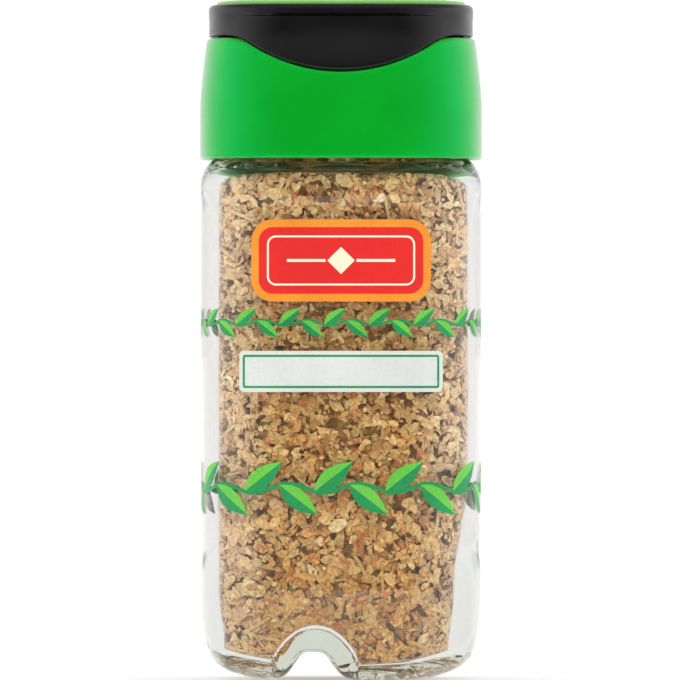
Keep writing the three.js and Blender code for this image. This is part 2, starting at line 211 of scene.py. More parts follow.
def spline(points, steps):
    """A smooth curve through points, with so many steps between each two."""
    ends = [points[0], *points, points[-1]]
    made = []
    for a, b, c, d in zip(ends, ends[1:], ends[2:], ends[3:]):
        for i in range(steps):
            t = i / steps
            cubic = [3 * (q - r) + s - p for p, q, r, s in zip(a, b, c, d)]
            square = [2 * p - 5 * q + 4 * r - s for p, q, r, s in zip(a, b, c, d)]
            slope = [r - p for p, r in zip(a, c)]
            made.append(tuple(
                q + 0.5 * t * (k + t * (j + t * i3)) for q, k, j, i3 in zip(b, slope, square, cubic)
            ))
    return [*made, points[-1]]


def plan(x, y, half, power=CORNER):
    """Moves a point straight out from the middle, onto a rounded square of that half width."""
    reach = (abs(x) ** power + abs(y) ** power) ** (1 / power)
    return x / reach * half, y / reach * half


def grow(mesh, edges, row):
    """Adds one ring of faces on these edges, with its row as its height for now, and gives its new edges."""
    made = bmesh.ops.extrude_edge_only(mesh, edges=edges)["geom"]
    fresh = {v for v in made if isinstance(v, bmesh.types.BMVert)}
    for vert in fresh:
        vert.co.z = row
    return [e for e in made if isinstance(e, bmesh.types.BMEdge) and set(e.verts) <= fresh]


def outer_half(z):
    """Half the width of the glass between its heel and its shoulder."""
    dip = ramp(z, PANEL["low"] - PANEL["slope"], PANEL["low"])
    dip -= ramp(z, PANEL["high"], PANEL["high"] + PANEL["slope"])
    return HALF - PANEL["depth"] * dip


def neck_radius(z):
    rise = ramp(z, BEAD["low"], BEAD["low"] + BEAD["slope"])
    fall = ramp(z, BEAD["high"] - BEAD["slope"], BEAD["high"])
    return NECK["radius"] + BEAD["height"] * (rise - fall)


def thinning(z):
    return ramp(z, WALL["thick_to"], WALL["thin_from"])


def inner_half(z):
    return mix(WALL["low_half"], WALL["half"], thinning(z))


def inner_shift(z):
    """How far the middle of the hollow lies to the +X side."""
    centred = ramp(z, CAVITY["roof"], CAVITY["neck_from"])
    return mix(WALL["low_shift"], WALL["shift"], thinning(z)) * (1 - centred)


def rounded_power(half, z, start, rounding):
    """The body's rounded square turns round only on top of the shoulder, where it closes in to the neck."""
    return CORNER if z < start else mix(2, CORNER, ramp(half, *rounding))


def groove_height(x):
    return GROOVE["height"] / (1 + ((x - GROOVE["x"]) / GROOVE["half"]) ** 4) - GROOVE["trim"]


def floor_height(x):
    """The inner floor: a shallow dish, with a hump over the groove."""
    aside = ((x - HUMP["x"]) / HUMP["half"]) ** 2
    hump = HUMP["rise"] * math.copysign(abs(1 - aside) ** HUMP["power"], 1 - aside)
    return DISH["low"] + DISH["bend"] * x * x + soft_max(0, hump, HUMP["soft"])


def dish_rise(x, z):
    """How far the dish lifts the foot of the hollow's wall at this place. It dies out up the wall."""
    part = np.clip((z - DISH["fades_from"]) / DISH["fades_over"], 0, 1)
    return DISH["bend"] * x * x * (1 - part * part * (3 - 2 * part))


def fillet(height):
    """How far the rounded corner over the floor stands in from the wall, at a height above the floor."""
    below = np.clip(1 - height / FILLET["radius"], 0, 1)
    return FILLET["radius"] * (1 - np.sqrt(1 - below**2)) - FILLET["step_in"] * np.minimum(height, 0)


# The rows of faces lie close together where the glass bends, and far apart where it is straight.
side_heights = [
    14.5,
    *evenly(PANEL["low"] - PANEL["slope"], PANEL["low"], 7),
    *evenly(24, 70, 8),
    *evenly(PANEL["high"], PANEL["high"] + PANEL["slope"], 7),
]
neck_heights = [
    *(84, 87, 90),
    *evenly(BEAD["low"], BEAD["low"] + BEAD["slope"], 5),
    *evenly(BEAD["high"] - BEAD["slope"], BEAD["high"], 5),
    *(94, 96),
]
roof = arc(WALL["half"] - CAVITY["roof_corner"], CAVITY["roof"], CAVITY["roof_corner"], 0, 75, 10)
floor_corner = arc(
    FILLET["half"] - FILLET["radius"], DISH["low"] + FILLET["radius"], FILLET["radius"], -70, -12, 9
)
inner_edge = NECK["inner_edge"]
outside = [
    *spline([(FOOT_HALF, 0), *HEEL], 4),
    *[(outer_half(z), z) for z in side_heights],
    *arc(HALF - SHOULDER["radius"], SHOULDER["start"], SHOULDER["radius"], 0, 86, 14),
    *[(neck_radius(z), z) for z in neck_heights],
    *arc(NECK["radius"] - NECK["edge"], NECK["mouth"] - NECK["edge"], NECK["edge"], 0, 90, 6),
]
inside = [
    *floor_corner[:-1],
    *spline([floor_corner[-1], *LOW_WALL, (WALL["low_half"], WALL["thick_to"])], 10),
    *[(inner_half(z), z) for z in (*evenly(16, 31, 8), *evenly(36, 75.5, 9))],
    *roof,
    *spline([roof[-1], *THROAT], 3)[1:],
    *[(NECK["bore"], z) for z in (88, 92, 96)],
    *arc(NECK["bore"] + inner_edge, NECK["mouth"] - inner_edge, inner_edge, 180, 90, 5),
]
stack = outside + inside
mesh = bmesh.new()
rims = []
for first, profile in ((0, outside), (len(outside), inside)):
    patch = bmesh.ops.create_grid(mesh, x_segments=GRID, y_segments=GRID, size=1)["verts"]
    for vert in patch:
        vert.co.z = first
    edges = list({e for vert in patch for e in vert.link_edges if e.is_boundary})
    for row in range(first + 1, first + len(profile)):
        edges = grow(mesh, edges, row)
    rims += edges
bmesh.ops.bridge_loops(mesh, edges=rims)
for vert in mesh.verts:
    row = round(vert.co.z)
    half, z = stack[row]
    part = max(abs(vert.co.x), abs(vert.co.y))
    if row < len(outside):
        power = rounded_power(half, z, SHOULDER["start"], SHOULDER["rounding"])
        x, y = plan(vert.co.x, vert.co.y, half * part, power) if part else (0, 0)
        z = soft_max(z, groove_height(x), mix(*GROOVE["edges"], ramp(z, *GROOVE["softens"])))
        uneven = 0.5 + 0.5 * noise.noise(Vector((x, y, z)) / UNEVEN["length"])
        z += UNEVEN["depth"] * uneven * ramp(z, *UNEVEN["grows"]) * (1 - ramp(z, *UNEVEN["fades"]))
    else:
        power = rounded_power(half, z, CAVITY["roof"], CAVITY["rounding"])
        x = plan(vert.co.x, vert.co.y, half * part, power)[0] if part else 0
        x += inner_shift(z)
        z += dish_rise(x, z)
        half = min(half, max(half, FILLET["half"]) - fillet(z - floor_height(x)))
        x, y = plan(vert.co.x, vert.co.y, half * part, power) if part else (0, 0)
        x += inner_shift(z)
        z = max(z, floor_height(x))
        ripple = 0.5 + 0.5 * noise.noise(Vector((x, y, z)) / WAVY["length"])
        out = 1 + WAVY["depth"] * ripple * (1 - ramp(z, *WAVY["fades"])) / WALL["half"]
        x, y = x * out, y * out
    vert.co = (x, y, z)


def finished(name, mesh, material, body, replaces=(), sharp=40):
    """Makes a mesh in millimetres one object of the frame, which rides on its body."""
    bmesh.ops.recalc_face_normals(mesh, faces=mesh.faces)
    bmesh.ops.scale(mesh, vec=(MM, MM, MM), verts=mesh.verts)
    data = bpy.data.meshes.new(name)
    mesh.to_mesh(data)
    mesh.free()
    data.shade_smooth()
    data.set_sharp_from_angle(angle=math.radians(sharp))
    data.materials.append(material)
    made = bpy.data.objects.new(name, data)
    scene.collection.objects.link(made)
    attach(made, body)
    if replaces:
        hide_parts(*replaces)
    return made


# Soda-lime glass, pressed and fire-polished: clear and colourless face on, grey-green along its
# edges, where the eye looks down through much more of it. Lamps and matt light pass straight through.
GLASS_IOR = 1.52
glass, tree = blank("pressed_soda_lime_glass")
path = node(tree, "LightPath")
kinds = {0: path.outputs["Is Shadow Ray"], 1: path.outputs["Is Diffuse Ray"]}
passing = node(tree, "Math", kinds, operation="MAXIMUM")
bent = node(tree, "BsdfGlass", {"Color": linear("#ffffff"), "Roughness": 0.0, "IOR": GLASS_IOR})
straight = node(tree, "BsdfTransparent", {"Color": linear("#ffffff")})
surface = node(tree, "MixShader", {0: passing.outputs[0], 1: bent.outputs[0], 2: straight.outputs[0]})
tint = node(tree, "VolumeAbsorption", {"Color": linear("#e9efe2"), "Density": 36.0})
node(tree, "OutputMaterial", {"Surface": surface.outputs[0], "Volume": tint.outputs[0]})
finished("jar_glass", mesh, glass, "jar", ["glass_jar"], sharp=60)

# ---- Dried marjoram ----
# Rubbed leaves, loose in the jar up to just under the sifter: thin curled bits of leaf, crumbs and a few
# bits of stalk. Where they meet the glass they lie against it, and behind them is the heap, painted dark as
# shade.
FILL_TOP = 95.8
# The core of the heap, its dark colour painted shade: its gap to the glass, its drop below the fill's top,
# the size of its lumps, and how square it starts.
HEAP = {"clear": 1.6, "under_top": 1.5, "lump": 1.0, "power": 6}
TOUCH = 0.06  # the nearest that a leaf comes to the glass
FLOOR_REACH = 18  # half the width of the floor that bits lie on
COPIES = {"log_size": 0.12, "log_spread": 0.3}  # bits of a kind differ in size, most by less than a third
LEANEST = 1.5  # radians, the most that a bit is turned away from lying flat
random = np.random.default_rng(11)

heights = np.array([z for _, z in inside])
halves = np.array([half for half, _ in inside])
powers = np.array([rounded_power(half, z, CAVITY["roof"], CAVITY["rounding"]) for half, z in inside])
shifts = np.array([inner_shift(z) for z in heights])
floor_x = np.linspace(-HALF, HALF, 400)
floor_z = np.array([floor_height(x) for x in floor_x])


def kept_in(points, clear):
    """Moves the points that are outside the hollow, or nearer than clear to the glass, back in."""
    x, y, z = points.T
    floor = np.interp(x, floor_x, floor_z)
    z = np.clip(z, floor + clear, FILL_TOP)
    row = z - dish_rise(x, z - dish_rise(x, z))
    half, power, shift = (np.interp(row, heights, column) for column in (halves, powers, shifts))
    half = np.minimum(half, np.maximum(half, FILLET["half"]) - fillet(z - floor - clear))
    x = x - shift
    reach = (np.abs(x) ** power + np.abs(y) ** power) ** (1 / power)
    back = np.minimum(1, (half - clear) / np.maximum(reach, 1e-6))
    return np.stack([x * back + shift, y * back, z], axis=1)


mesh = bmesh.new()
bmesh.ops.create_icosphere(mesh, subdivisions=6, radius=1)
for vert in mesh.verts:
    x, y, z = vert.co
    reach = max(sum(abs(way) ** HEAP["power"] for way in (x, y, z)) ** (1 / HEAP["power"]), 1e-6)
    vert.co = Vector((x / reach * HALF, y / reach * HALF, (1 + z / reach) * FILL_TOP / 2))
placed = kept_in(np.array([v.co for v in mesh.verts]), HEAP["clear"])
for vert, place in zip(mesh.verts, placed):
    inward = Vector((-place[0], -place[1], 0)).normalized()
    vert.co = Vector(place) + inward * noise.noise(Vector(place) / HEAP["lump"]) * HEAP["lump"]
    vert.co.z = min(vert.co.z, FILL_TOP - HEAP["under_top"])

# Leaf scraps in the shade between the leaves, painted dark as shade: dull, each scrap about 1.2 mm across.
shade, tree = blank("shaded_leaf_scraps")
coords = node(tree, "TexCoord").outputs["Object"]
bend = node(tree, "TexNoise", {"Vector": coords, "Scale": 1 / (1.0 * MM), "Detail": 2.0})
bent = {0: bend.outputs["Color"], 1: (0.8 * MM,) * 3, 2: coords}
bent = node(tree, "VectorMath", bent, operation="MULTIPLY_ADD")
scraps = node(tree, "TexVoronoi", {"Vector": bent.outputs[0], "Scale": 1 / (1.2 * MM)}).outputs
tones = [(0.0, "#6f4b22"), (0.3, "#a2743b"), (0.55, "#c9984f"), (0.75, "#ad854a"), (0.85, "#a8622c")]
tones += [(1.0, "#d9b479")]
colour = node(tree, "ValToRGB", {0: scraps["Color"]}, stops=tones)
depth = {"Height": scraps["Distance"], "Strength": 1.0, "Distance": 0.6 * MM}
bump = node(tree, "Bump", depth, invert=True)
skin = {"Base Color": colour.outputs[0], "Roughness": 0.95, "Normal": bump.outputs[0]}
skin["Specular IOR Level"] = 0.1
node(tree, "OutputMaterial", {"Surface": node(tree, "BsdfPrincipled", skin).outputs[0]})
finished("herb_heap", mesh, shade, "jar", ["marjoram_fill"])


def leaf_bit():
    """A torn bit of leaf about 2 mm long: a thin, cupped, crumpled disc, folded a little along its rib."""
    mesh = bmesh.new()
    bmesh.ops.create_circle(mesh, cap_ends=True, cap_tris=True, segments=7, radius=1)
    slim, cup, fold, twist = random.uniform((0.45, -0.5, -0.5, -0.4), (0.9, 0.5, 0.5, 0.4))
    for vert in mesh.verts:
        x, y = vert.co.x, vert.co.y
        tear, crumple = random.uniform((0.45, -0.2), (1.2, 0.2))
        x, y = x * tear, y * tear * slim
        vert.co = (x, y, cup * x * x + fold * abs(y) + twist * x * y + crumple)
    bmesh.ops.solidify(mesh, geom=mesh.faces[:], thickness=0.06)
    return mesh


def crumb():
    """A crumb of leaf about 1 mm across: a small, thick, uneven chip."""
    mesh = bmesh.new()
    bmesh.ops.create_cone(
        mesh, cap_ends=True, cap_tris=False, segments=5, radius1=0.4, radius2=0.3, depth=0.16
    )
    for vert in mesh.verts:
        vert.co = Vector(vert.co) * random.uniform(0.6, 1.2)
    return mesh


def stalk_bit():
    """A bit of dry stalk about 4 mm long, thin, a little bent, and broken off square."""
    mesh = bmesh.new()
    bmesh.ops.create_cone(
        mesh, cap_ends=True, cap_tris=False, segments=6, radius1=0.26, radius2=0.19, depth=4
    )
    sides = [e for e in mesh.edges if abs(e.verts[0].co.z - e.verts[1].co.z) > 1]
    bmesh.ops.subdivide_edges(mesh, edges=sides, cuts=2)
    bow = random.uniform(-0.03, 0.03)
    for vert in mesh.verts:
        vert.co = (vert.co.z, vert.co.x + bow * vert.co.z**2, vert.co.y * 0.8)
    return mesh


def against_glass(count):
    """Random places along the wall of the hollow, and the way out of the glass at each."""
    around = np.linspace(0, 2 * np.pi, 721)
    reach = (np.abs(np.cos(around)) ** CORNER + np.abs(np.sin(around)) ** CORNER) ** (1 / CORNER)
    line = np.stack([np.cos(around) / reach, np.sin(around) / reach], axis=1)
    lengths = np.concatenate([[0], np.cumsum(np.linalg.norm(np.diff(line, axis=0), axis=1))])
    angle = np.interp(random.uniform(0, lengths[-1], count), lengths, around)
    z = random.uniform(heights[0], FILL_TOP, count)
    half, power, shift = (np.interp(z, heights, row) for row in (halves, powers, shifts))
    lean = np.interp(z, heights, np.gradient(halves, heights))
    x, y = np.cos(angle), np.sin(angle)
    reach = (np.abs(x) ** power + np.abs(y) ** power) ** (1 / power)
    x, y = x / reach, y / reach
    out = np.stack([np.sign(x) * np.abs(x) ** (power - 1), np.sign(y) * np.abs(y) ** (power - 1)], axis=1)
    out /= np.linalg.norm(out, axis=1, keepdims=True)
    out = np.concatenate([out, -np.clip(lean, -3, 3)[:, None]], axis=1)
    out /= np.linalg.norm(out, axis=1, keepdims=True)
    x, y = x * half + shift, y * half
    z = np.maximum(z, np.interp(x, floor_x, floor_z) + random.uniform(0, 2, count))
    return np.stack([x, y, z], axis=1), out


def on_floor(count):
    """Random places on the jar's floor, and straight down at each."""
    x, y = random.uniform(-FLOOR_REACH, FLOOR_REACH, (2, count))
    down = np.tile([0.0, 0.0, -1.0], (count, 1))
    return np.stack([x, y, np.interp(x, floor_x, floor_z)], axis=1), down


def on_top(count):
    """Random places on the top of the fill, inside the neck, and straight up at each."""
    angle = random.uniform(0, 2 * np.pi, count)
    out = NECK["bore"] * np.sqrt(random.uniform(0, 1, count))
    up = np.tile([0.0, 0.0, 1.0], (count, 1))
    return np.stack([out * np.cos(angle), out * np.sin(angle), np.full(count, FILL_TOP)], axis=1), up


def across(way):
    """A random direction square to each of these."""
    side = np.cross(way, random.normal(size=way.shape))
    return side / np.linalg.norm(side, axis=1, keepdims=True)


def scattered(name, shapes, sizes, tilt, layer, places, material):
    """Copies of some small shapes, lying along what holds them, as one mesh with a tone for each copy.

    sizes is the smallest and the largest, tilt is in degrees, and layer is how deep most of them lie.
    There are too many copies to place with operators one by one, so each shape's are placed together.
    """
    spots, out = (np.concatenate(rows) for rows in zip(*places))
    count = len(spots)
    spots = spots - out * (TOUCH + np.abs(random.normal(0, layer, count)))[:, None]
    lean = np.tan(np.clip(random.normal(0, math.radians(tilt), count), -LEANEST, LEANEST))[:, None]
    up = out + lean * across(out)
    up /= np.linalg.norm(up, axis=1, keepdims=True)
    along = across(up)
    turn = np.stack([along, np.cross(up, along), up], axis=2)
    size = random.lognormal(COPIES["log_size"], COPIES["log_spread"], count)
    turn *= np.clip(size, *sizes)[:, None, None]
    kind = random.integers(0, len(shapes), count)
    tone = random.uniform(0, 1, count)
    points, corners, tones, start = [], [], [], 0
    for i, shape in enumerate(shapes):
        bmesh.ops.recalc_face_normals(shape, faces=shape.faces)
        bmesh.ops.triangulate(shape, faces=shape.faces)
        shape.verts.index_update()
        own = np.array([v.co for v in shape.verts])
        faces = np.array([[v.index for v in f.verts] for f in shape.faces])
        shape.free()
        mine = np.flatnonzero(kind == i)
        copies = np.einsum("nij,kj->nki", turn[mine], own) + spots[mine][:, None, :]
        points.append(copies.reshape(-1, 3))
        firsts = start + len(own) * np.arange(len(mine))
        corners.append((faces[None] + firsts[:, None, None]).reshape(-1, 3))
        tones.append(np.repeat(tone[mine], len(own)))
        start += len(own) * len(mine)
    data = bpy.data.meshes.new(name)
    data.from_pydata(kept_in(np.concatenate(points), TOUCH) * MM, [], np.concatenate(corners))
    values = data.attributes.new("tone", "FLOAT", "POINT")
    values.data.foreach_set("value", np.concatenate(tones).astype(np.float32))
    data.shade_smooth()
    data.set_sharp_from_angle(angle=math.radians(24))
    data.materials.append(material)
    made = bpy.data.objects.new(name, data)
    scene.collection.objects.link(made)
    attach(made, "jar")
    return made


# The herb is tinted by its height in the fill: darkest and warmest just over the floor, and palest at the
# top.
# Each tint's place is a part of the fill's height.
HEIGHT_TINTS = [(0.13, "#eadbb0"), (0.22, "#fdf4d8"), (0.3, "#fff6da"), (0.38, "#fffae2"), (0.6, "#fffae2")]
HEIGHT_TINTS += [(0.76, "#fffff4")]
# Painted light: the leaves are painted paler where they lie against the glass in the corners, where the side
# light catches them. A corner reads 1.41 and the middle of a side 1.
CORNER_LIGHT = {"from": 1.28, "to": 1.41, "most": 0.28, "colour": "#f3e4c2"}


def dry_leaf(name, tones, fibre):
    """Air-dried leaf, rubbed: matt, each bit its own brown or dull green, with finer veins and specks."""
    made, tree = blank(name)
    tone = node(tree, "Attribute", attribute_name="tone").outputs["Fac"]
    colour = node(tree, "ValToRGB", {0: tone}, stops=tones)
    coords = node(tree, "TexCoord").outputs["Object"]
    veins = node(tree, "TexNoise", {"Vector": coords, "Scale": 1 / (fibre * MM), "Detail": 4.0})
    marks = node(tree, "MapRange", {0: veins.outputs["Fac"], 1: 0.3, 2: 0.7, 3: 0.66, 4: 1.24})
    # The tint by height up the fill: darker and warmer low down, paler higher up.
    height = node(tree, "SeparateXYZ", {0: coords}).outputs["Z"]
    filled = node(tree, "MapRange", {0: height, 2: FILL_TOP * MM})
    layer = node(tree, "ValToRGB", {0: filled.outputs[0]}, stops=HEIGHT_TINTS)
    tinted = {0: 1.0, 6: colour.outputs[0], 7: layer.outputs[0]}
    tinted = node(tree, "Mix", tinted, data_type="RGBA", blend_type="MULTIPLY")
    # Painted light: the leaves turn paler towards the jar's corners, where the side light catches them.
    flat = node(tree, "VectorMath", {0: coords, 1: (1, 1, 0)}, operation="MULTIPLY").outputs[0]
    squares = node(tree, "VectorMath", {0: flat, 1: flat}, operation="MULTIPLY").outputs[0]
    apart = node(tree, "VectorMath", {0: flat, 1: flat}, operation="DOT_PRODUCT").outputs["Value"]
    reach = node(tree, "VectorMath", {0: squares}, operation="LENGTH").outputs["Value"]
    corner = node(tree, "Math", {0: apart, 1: reach}, operation="DIVIDE").outputs[0]
    corner_light = node(tree, "MapRange", {0: corner, 1: CORNER_LIGHT["from"], 2: CORNER_LIGHT["to"], 4: CORNER_LIGHT["most"]})
    corner_lit = {0: corner_light.outputs[0], 6: tinted.outputs[2], 7: linear(CORNER_LIGHT["colour"])}
    corner_lit = node(tree, "Mix", corner_lit, data_type="RGBA")
    shaded = {0: 1.0, 6: corner_lit.outputs[2], 7: marks.outputs[0]}
    shaded = node(tree, "Mix", shaded, data_type="RGBA", blend_type="MULTIPLY")
    bump = node(tree, "Bump", {"Height": veins.outputs["Fac"], "Strength": 0.6, "Distance": 0.15 * MM})
    skin = {"Base Color": shaded.outputs[2], "Roughness": 0.8, "Normal": bump.outputs[0]}
    skin["Specular IOR Level"] = 0.25
    node(tree, "OutputMaterial", {"Surface": node(tree, "BsdfPrincipled", skin).outputs[0]})
    return made


leaf_tones = [
    (0.0, "#a0743f"),
    (0.1, "#c29358"),
    (0.25, "#dcae72"),
    (0.42, "#ebc58c"),
    (0.56, "#debb84"),
    (0.66, "#c9ad74"),
    (0.75, "#e6aa6c"),
    (0.84, "#d1884f"),
    (0.91, "#b6733f"),
    (1.0, "#f6e2ba"),
]
stalk_tones = [(0.0, "#c9a268"), (0.5, "#e0c48c"), (1.0, "#c98a55")]
leaf = dry_leaf("rubbed_dry_leaf", leaf_tones, 0.5)
straw = dry_leaf("broken_dry_stalk", stalk_tones, 0.3)
torn = [leaf_bit() for _ in range(12)]
spread = [against_glass(5600), on_floor(500), on_top(350)]
scattered("herb_leaves", torn, (0.85, 2.2), tilt=28, layer=0.45, places=spread, material=leaf)
torn = [leaf_bit() for _ in range(12)]
spread = [against_glass(4900), on_floor(300)]
scattered("herb_deep_leaves", torn, (0.9, 2.2), tilt=22, layer=0.95, places=spread, material=leaf)
torn = [leaf_bit() for _ in range(12)]
spread = [against_glass(6000), on_floor(500), on_top(300)]
scattered("herb_leaf_bits", torn, (0.5, 1.05), tilt=30, layer=0.5, places=spread, material=leaf)
spread = [against_glass(8000), on_floor(800), on_top(400)]
chips = [crumb() for _ in range(6)]
scattered("herb_crumbs", chips, (0.5, 1.4), tilt=45, layer=0.5, places=spread, material=leaf)
spread = [against_glass(260), on_floor(16), on_top(16)]
broken = [stalk_bit() for _ in range(6)]
scattered("herb_stalks", broken, (0.45, 1.2), tilt=12, layer=0.35, places=spread, material=straw)

# ---- Cap collar ----
# Green polypropylene, one moulding: a skirt round the neck, a snap ring under it, a deck with seven
# sifter holes, and two ears at the back for the lid's pins. Its front edge dips in a wave.
COLLAR = {"half": 22.1, "low": 81.7, "top": 100.55, "deck_low": 98.8, "wall": 1.3}
SKIRT_FOOT = {"edge": 0.35, "chamfer": 0.2, "straight_to": 91, "face_from": 0.3}
DRAW_IN = [(22.1, 82.1), (22.1, 86), (22.09, 90), (21.95, 92.5), (21.7, 95)]
DRAW_IN += [(21.45, 97.3), (21.2, 99.2), (21.06, 100.1)]
TOP_EDGE = {"front": 0.35, "back": 0.7, "grows_from": 98.5}
WAVE = {"low": 95.1, "radius": 26.5, "turn": 14.3, "end": 18.6}
RECESS = {"half": 19.1, "draft": 0.1, "root": 0.15, "edge": 0.3}
SNAP = {"outer": 19.1, "inner": 18, "lip": 17.4, "low": 88.5, "lip_top": 90.3}
PLUG = {"outer": 14.6, "inner": 13.6, "low": 96.5}
SQUARE_TO_ROUND = [(17.2, 3.2), (15.5, 2.4)]  # rings of the deck: half width, and power
# The low ridge round the sifter holes, by its radius and its height over the deck.
RIDGE_LINE = [(14.25, 0), (14, 0.25), (14, 0.8), (13.85, 1)]
RIDGE_LINE += [(13.35, 1), (13.2, 0.8), (13.2, 0.15), (13.05, 0)]
SIFTER = {"holes": 6, "ring": 7.2, "radius": 2.2, "cut": (95, 105)}
HINGE = {"y": 20.2, "z": 100.65, "barrel": 1.5, "half": 5, "edge": 0.2}
PIN = {"radius": 0.8, "hole": 1, "end": 7.9, "edge": 0.15}
EAR = {"start": 5.3, "end": 8.1, "front": 1.3, "back": 0.9, "edge": 0.25, "room": (0.2, 0.3)}
INTO = 0.1  # keeps the faces of an ear's foot out of the planes of what it joins
SWING = 0.35  # the room round the lid's barrel
RELIEF = {"half": 12.2, "y": 18.2, "depth": 1}
SIDES = 256
FAR = 30  # well past the collar's back
OVER = 110  # and over its top


def level(half, z, power=CORNER):
    """A ring at one height."""
    return lambda c, s: (*plan(c, s, half, power), z)


def loft(rings, joined=False):
    """A closed skin through rings. Each ring turns a point of the unit circle into its place."""
    mesh = bmesh.new()
    bmesh.ops.create_circle(mesh, segments=SIDES, radius=1)
    first = edges = mesh.edges[:]
    for i in range(1, len(rings)):
        edges = grow(mesh, edges, i)
    if joined:
        bmesh.ops.bridge_loops(mesh, edges=first + edges)
    else:
        bmesh.ops.contextual_create(mesh, geom=first)
        bmesh.ops.contextual_create(mesh, geom=edges)
    for vert in mesh.verts:
        vert.co = rings[round(vert.co.z)](vert.co.x, vert.co.y)
    bmesh.ops.recalc_face_normals(mesh, faces=mesh.faces)
    return mesh


def carved(mesh, tool, operation="DIFFERENCE"):
    """One closed mesh less another, or joined with it."""
    pair = []
    for part in (mesh, tool):
        data = bpy.data.meshes.new("part")
        part.to_mesh(data)
        part.free()
        pair.append(bpy.data.objects.new("part", data))
        scene.collection.objects.link(pair[-1])
    cut = pair[0].modifiers.new("cut", "BOOLEAN")
    cut.object = pair[1]
    cut.operation = operation
    cut.solver = "MANIFOLD"
    shown = pair[0].evaluated_get(bpy.context.evaluated_depsgraph_get())
    made = bmesh.new()
    made.from_mesh(shown.to_mesh())
    shown.to_mesh_clear()
    for part in pair:
        data = part.data
        bpy.data.objects.remove(part)
        bpy.data.meshes.remove(data)
    return made


def box(low, high):
    """A plain block between two corners."""
    mesh = bmesh.new()
    bmesh.ops.create_cube(mesh, size=1)
    size = Vector(high) - Vector(low)
    middle = (Vector(high) + Vector(low)) / 2
    place = Matrix.Translation(middle) @ Matrix.Diagonal((*size, 1))
    bmesh.ops.transform(mesh, matrix=place, verts=mesh.verts)
    return mesh


def bar(radius, start, end, y, z, edge=0.0):
    """A round bar along X, with its end edges rounded."""
    mesh = bmesh.new()
    bmesh.ops.create_cone(
        mesh, cap_ends=True, segments=48, radius1=radius, radius2=radius, depth=end - start
    )
    if edge:
        rims = [e for e in mesh.edges if abs(e.verts[0].co.z - e.verts[1].co.z) < MM]
        bmesh.ops.bevel(mesh, geom=rims, offset=edge, segments=3, profile=0.5, affect="EDGES", material=-1)
    place = Matrix.Translation(((start + end) / 2, y, z)) @ Matrix.Rotation(math.pi / 2, 4, "Y")
    bmesh.ops.transform(mesh, matrix=place, verts=mesh.verts)
    return mesh


def rod(radius, x, y, low, high, edge=0.0):
    """A round rod along Z, with its lower edge rounded."""
    mesh = bmesh.new()
    place = Matrix.Translation((x, y, (low + high) / 2))
    bmesh.ops.create_cone(
        mesh, cap_ends=True, segments=48, radius1=radius, radius2=radius, depth=high - low, matrix=place
    )
    if edge:
        rims = [e for e in mesh.edges if max(v.co.z for v in e.verts) < low + MM]
        bmesh.ops.bevel(mesh, geom=rims, offset=edge, segments=4, profile=0.5, affect="EDGES", material=-1)
    return mesh


def wave(x, y):
    """The height of the collar's edge: a wide arc in front, which turns level at each end."""
    aside = abs(x)
    if y > 0 or aside >= WAVE["end"]:
        return COLLAR["top"]
    if aside <= WAVE["turn"]:
        return WAVE["low"] + WAVE["radius"] - math.sqrt(WAVE["radius"] ** 2 - aside**2)
    radius = (WAVE["end"] - WAVE["turn"]) * WAVE["radius"] / WAVE["turn"]
    return COLLAR["top"] - radius + math.sqrt(radius**2 - (WAVE["end"] - aside) ** 2)


skirt_line = np.array(spline(DRAW_IN, 8))


def collar_half(z):
    return float(np.interp(z, skirt_line[:, 1], skirt_line[:, 0]))


def collar_edge(c, s):
    """Where the collar's outer face ends in this direction: its half width, height and edge radius."""
    half = collar_half(99)
    for _ in range(3):
        top = wave(*plan(c, s, half))
        radius = mix(TOP_EDGE["front"], TOP_EDGE["back"], ramp(top, TOP_EDGE["grows_from"], COLLAR["top"]))
        half = collar_half(top - radius)
    return half, top, radius


def skirt_face(part):
    """A ring of the outer face, at part of the way up from the skirt's foot to the edge."""
    def place(c, s):
        _, top, radius = collar_edge(c, s)
        z = mix(COLLAR["low"] + SKIRT_FOOT["face_from"], top - radius, part)
        return (*plan(c, s, collar_half(z)), z)
    return place


def skirt_edge(angle):
    def place(c, s):
        half, top, radius = collar_edge(c, s)
        turned = math.radians(angle)
        inward = half - radius * (1 - math.cos(turned))
        return (*plan(c, s, inward), top - radius * (1 - math.sin(turned)))
    return place


def ledge(part):
    """A ring of the step behind the wave, from the outer edge in to the recess wall."""
    def place(c, s):
        half, _, radius = collar_edge(c, s)
        x, y = plan(c, s, mix(half - radius, RECESS["half"] + RECESS["root"], part))
        return x, y, wave(x, y)
    return place


def recess_wall(half, part):
    def place(c, s):
        x, y = plan(c, s, half)
        low = wave(x, y)
        return x, y, mix(low, COLLAR["top"], part)
    return place


def ceiling(half, power=CORNER):
    """A ring under the ledge and the deck, one wall's thickness below them."""
    def place(c, s):
        x, y = plan(c, s, half, power)
        z = min(wave(x, y) - COLLAR["wall"], COLLAR["deck_low"])
        if power == CORNER:
            x, y = plan(c, s, min(half, collar_half(z) - COLLAR["wall"]))
        return x, y, z
    return place


